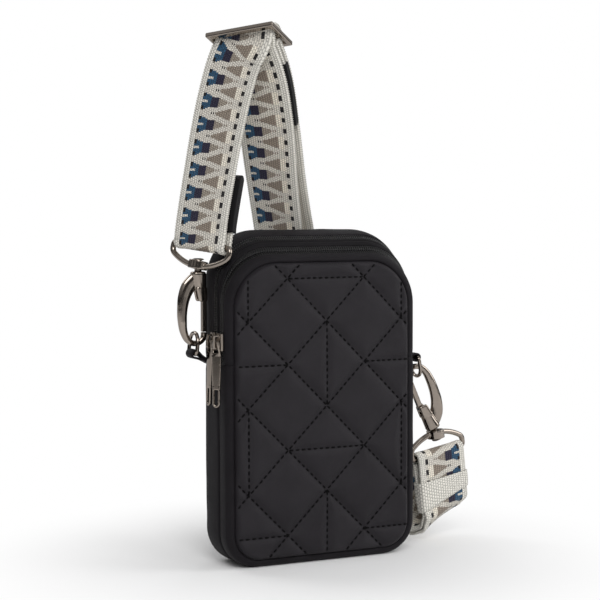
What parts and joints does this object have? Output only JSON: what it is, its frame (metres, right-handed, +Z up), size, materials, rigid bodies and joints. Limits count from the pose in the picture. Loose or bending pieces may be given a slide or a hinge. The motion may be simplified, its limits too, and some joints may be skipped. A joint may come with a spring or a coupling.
{
  "type": "phone pouch",
  "caption": "Upright padded phone pouch with a quilted front, zipped compartments, swivel hooks on side rings and a wide woven strap with a slide adjuster.",
  "frame": {"origin": "middle of the pouch's width on its base, at the middle of its depth", "axes": "+X to the right seen from the front, +Y to the back, +Z up; the quilted front faces -Y"},
  "size_m": [0.1969, 0.0823, 0.3144],
  "materials": {
    "nylon": "matte padded nylon",
    "lining": "thin lining cloth",
    "zip_coil": "black coil",
    "gunmetal": "polished gunmetal plating",
    "spring_steel": "spring steel",
    "webbing": "woven webbing with blue and taupe figures",
    "plain_webbing": "plain webbing",
    "end_cover": "black smooth cover"
  },
  "bodies": {
    "pouch": {"front_panel": "nylon", "front_lower_gusset": "nylon", "front_zip_fore_tape": "nylon", "front_zip_aft_tape": "nylon", "front_zip_fore_coil": "zip_coil", "front_zip_aft_coil": "zip_coil", "divider_panel": "lining", "rear_lower_gusset": "nylon", "rear_zip_fore_tape": "nylon", "rear_zip_aft_tape": "nylon", "rear_zip_fore_coil": "zip_coil", "rear_zip_aft_coil": "zip_coil", "back_panel": "nylon", "left_tab": "nylon", "right_tab": "nylon", "left_swivel_eye": "gunmetal", "right_swivel_eye": "gunmetal", "strap_slider": "gunmetal", "strap_left_run": "webbing", "strap_rear_run": "webbing", "strap_return_run": "webbing", "left_end_cover": "end_cover", "slider_end_cover": "end_cover", "strap_keeper": "plain_webbing"},
    "left_ring": {"left_d_ring": "gunmetal"},
    "left_hook": {"left_hook_body": "gunmetal", "left_gate_pin": "gunmetal", "left_gate_spring": "spring_steel"},
    "left_gate": {"left_hook_gate": "gunmetal"},
    "right_ring": {"right_d_ring": "gunmetal"},
    "right_hook": {"right_hook_body": "gunmetal", "right_gate_pin": "gunmetal", "right_gate_spring": "spring_steel"},
    "right_gate": {"right_hook_gate": "gunmetal"},
    "front_slider": {"front_zip_slider": "gunmetal"},
    "front_pull": {"front_zip_pull": "gunmetal"},
    "rear_slider": {"rear_zip_slider": "gunmetal"},
    "rear_pull": {"rear_zip_pull": "gunmetal"}
  },
  "joints": [
    {"name": "left_ring_swing", "type": "hinge", "parent": "pouch", "child": "left_ring", "pos_m": [-0.07185, 0.0083, 0.12385], "axis": [0, 1, 0], "range_deg": [-8, 8]},
    {"name": "left_hook_swivel", "type": "hinge", "parent": "pouch", "child": "left_hook", "pos_m": [-0.06818, 0.0083, 0.17108], "axis": [0, 0, 1], "range_deg": [-25, 25]},
    {"name": "left_gate_hinge", "type": "hinge", "parent": "left_hook", "child": "left_gate", "pos_m": [-0.06478, 0.0083, 0.15648], "axis": [0, 1, 0], "range_deg": [0, 20], "stiffness_Nm_per_rad": 0.03, "springref_deg": -20.05},
    {"name": "right_ring_swing", "type": "hinge", "parent": "pouch", "child": "right_ring", "pos_m": [0.0755, 0.0083, 0.11545], "axis": [0, 1, 0], "range_deg": [-8, 8]},
    {"name": "right_hook_swivel", "type": "hinge", "parent": "pouch", "child": "right_hook", "pos_m": [0.08943, 0.0083, 0.07029], "axis": [0.3987, 0, -0.9171], "range_deg": [-25, 25]},
    {"name": "right_gate_hinge", "type": "hinge", "parent": "right_hook", "child": "right_gate", "pos_m": [0.08049, 0.0083, 0.08233], "axis": [0, 1, 0], "range_deg": [0, 20], "stiffness_Nm_per_rad": 0.03, "springref_deg": -20.05},
    {"name": "front_zip_slide", "type": "slide", "parent": "pouch", "child": "front_slider", "axis": [0, 0, 1], "range_m": [0, 0.018]},
    {"name": "front_pull_swing", "type": "hinge", "parent": "front_slider", "child": "front_pull", "pos_m": [-0.0651, -0.0115, 0.1317], "axis": [0, 1, 0], "range_deg": [0, 120]},
    {"name": "rear_zip_slide", "type": "slide", "parent": "pouch", "child": "rear_slider", "axis": [0, 0, 1], "range_m": [0, 0.018]},
    {"name": "rear_pull_swing", "type": "hinge", "parent": "rear_slider", "child": "rear_pull", "pos_m": [-0.0651, -0.0025, 0.1317], "axis": [0, 1, 0], "range_deg": [0, 120]}
  ]
}
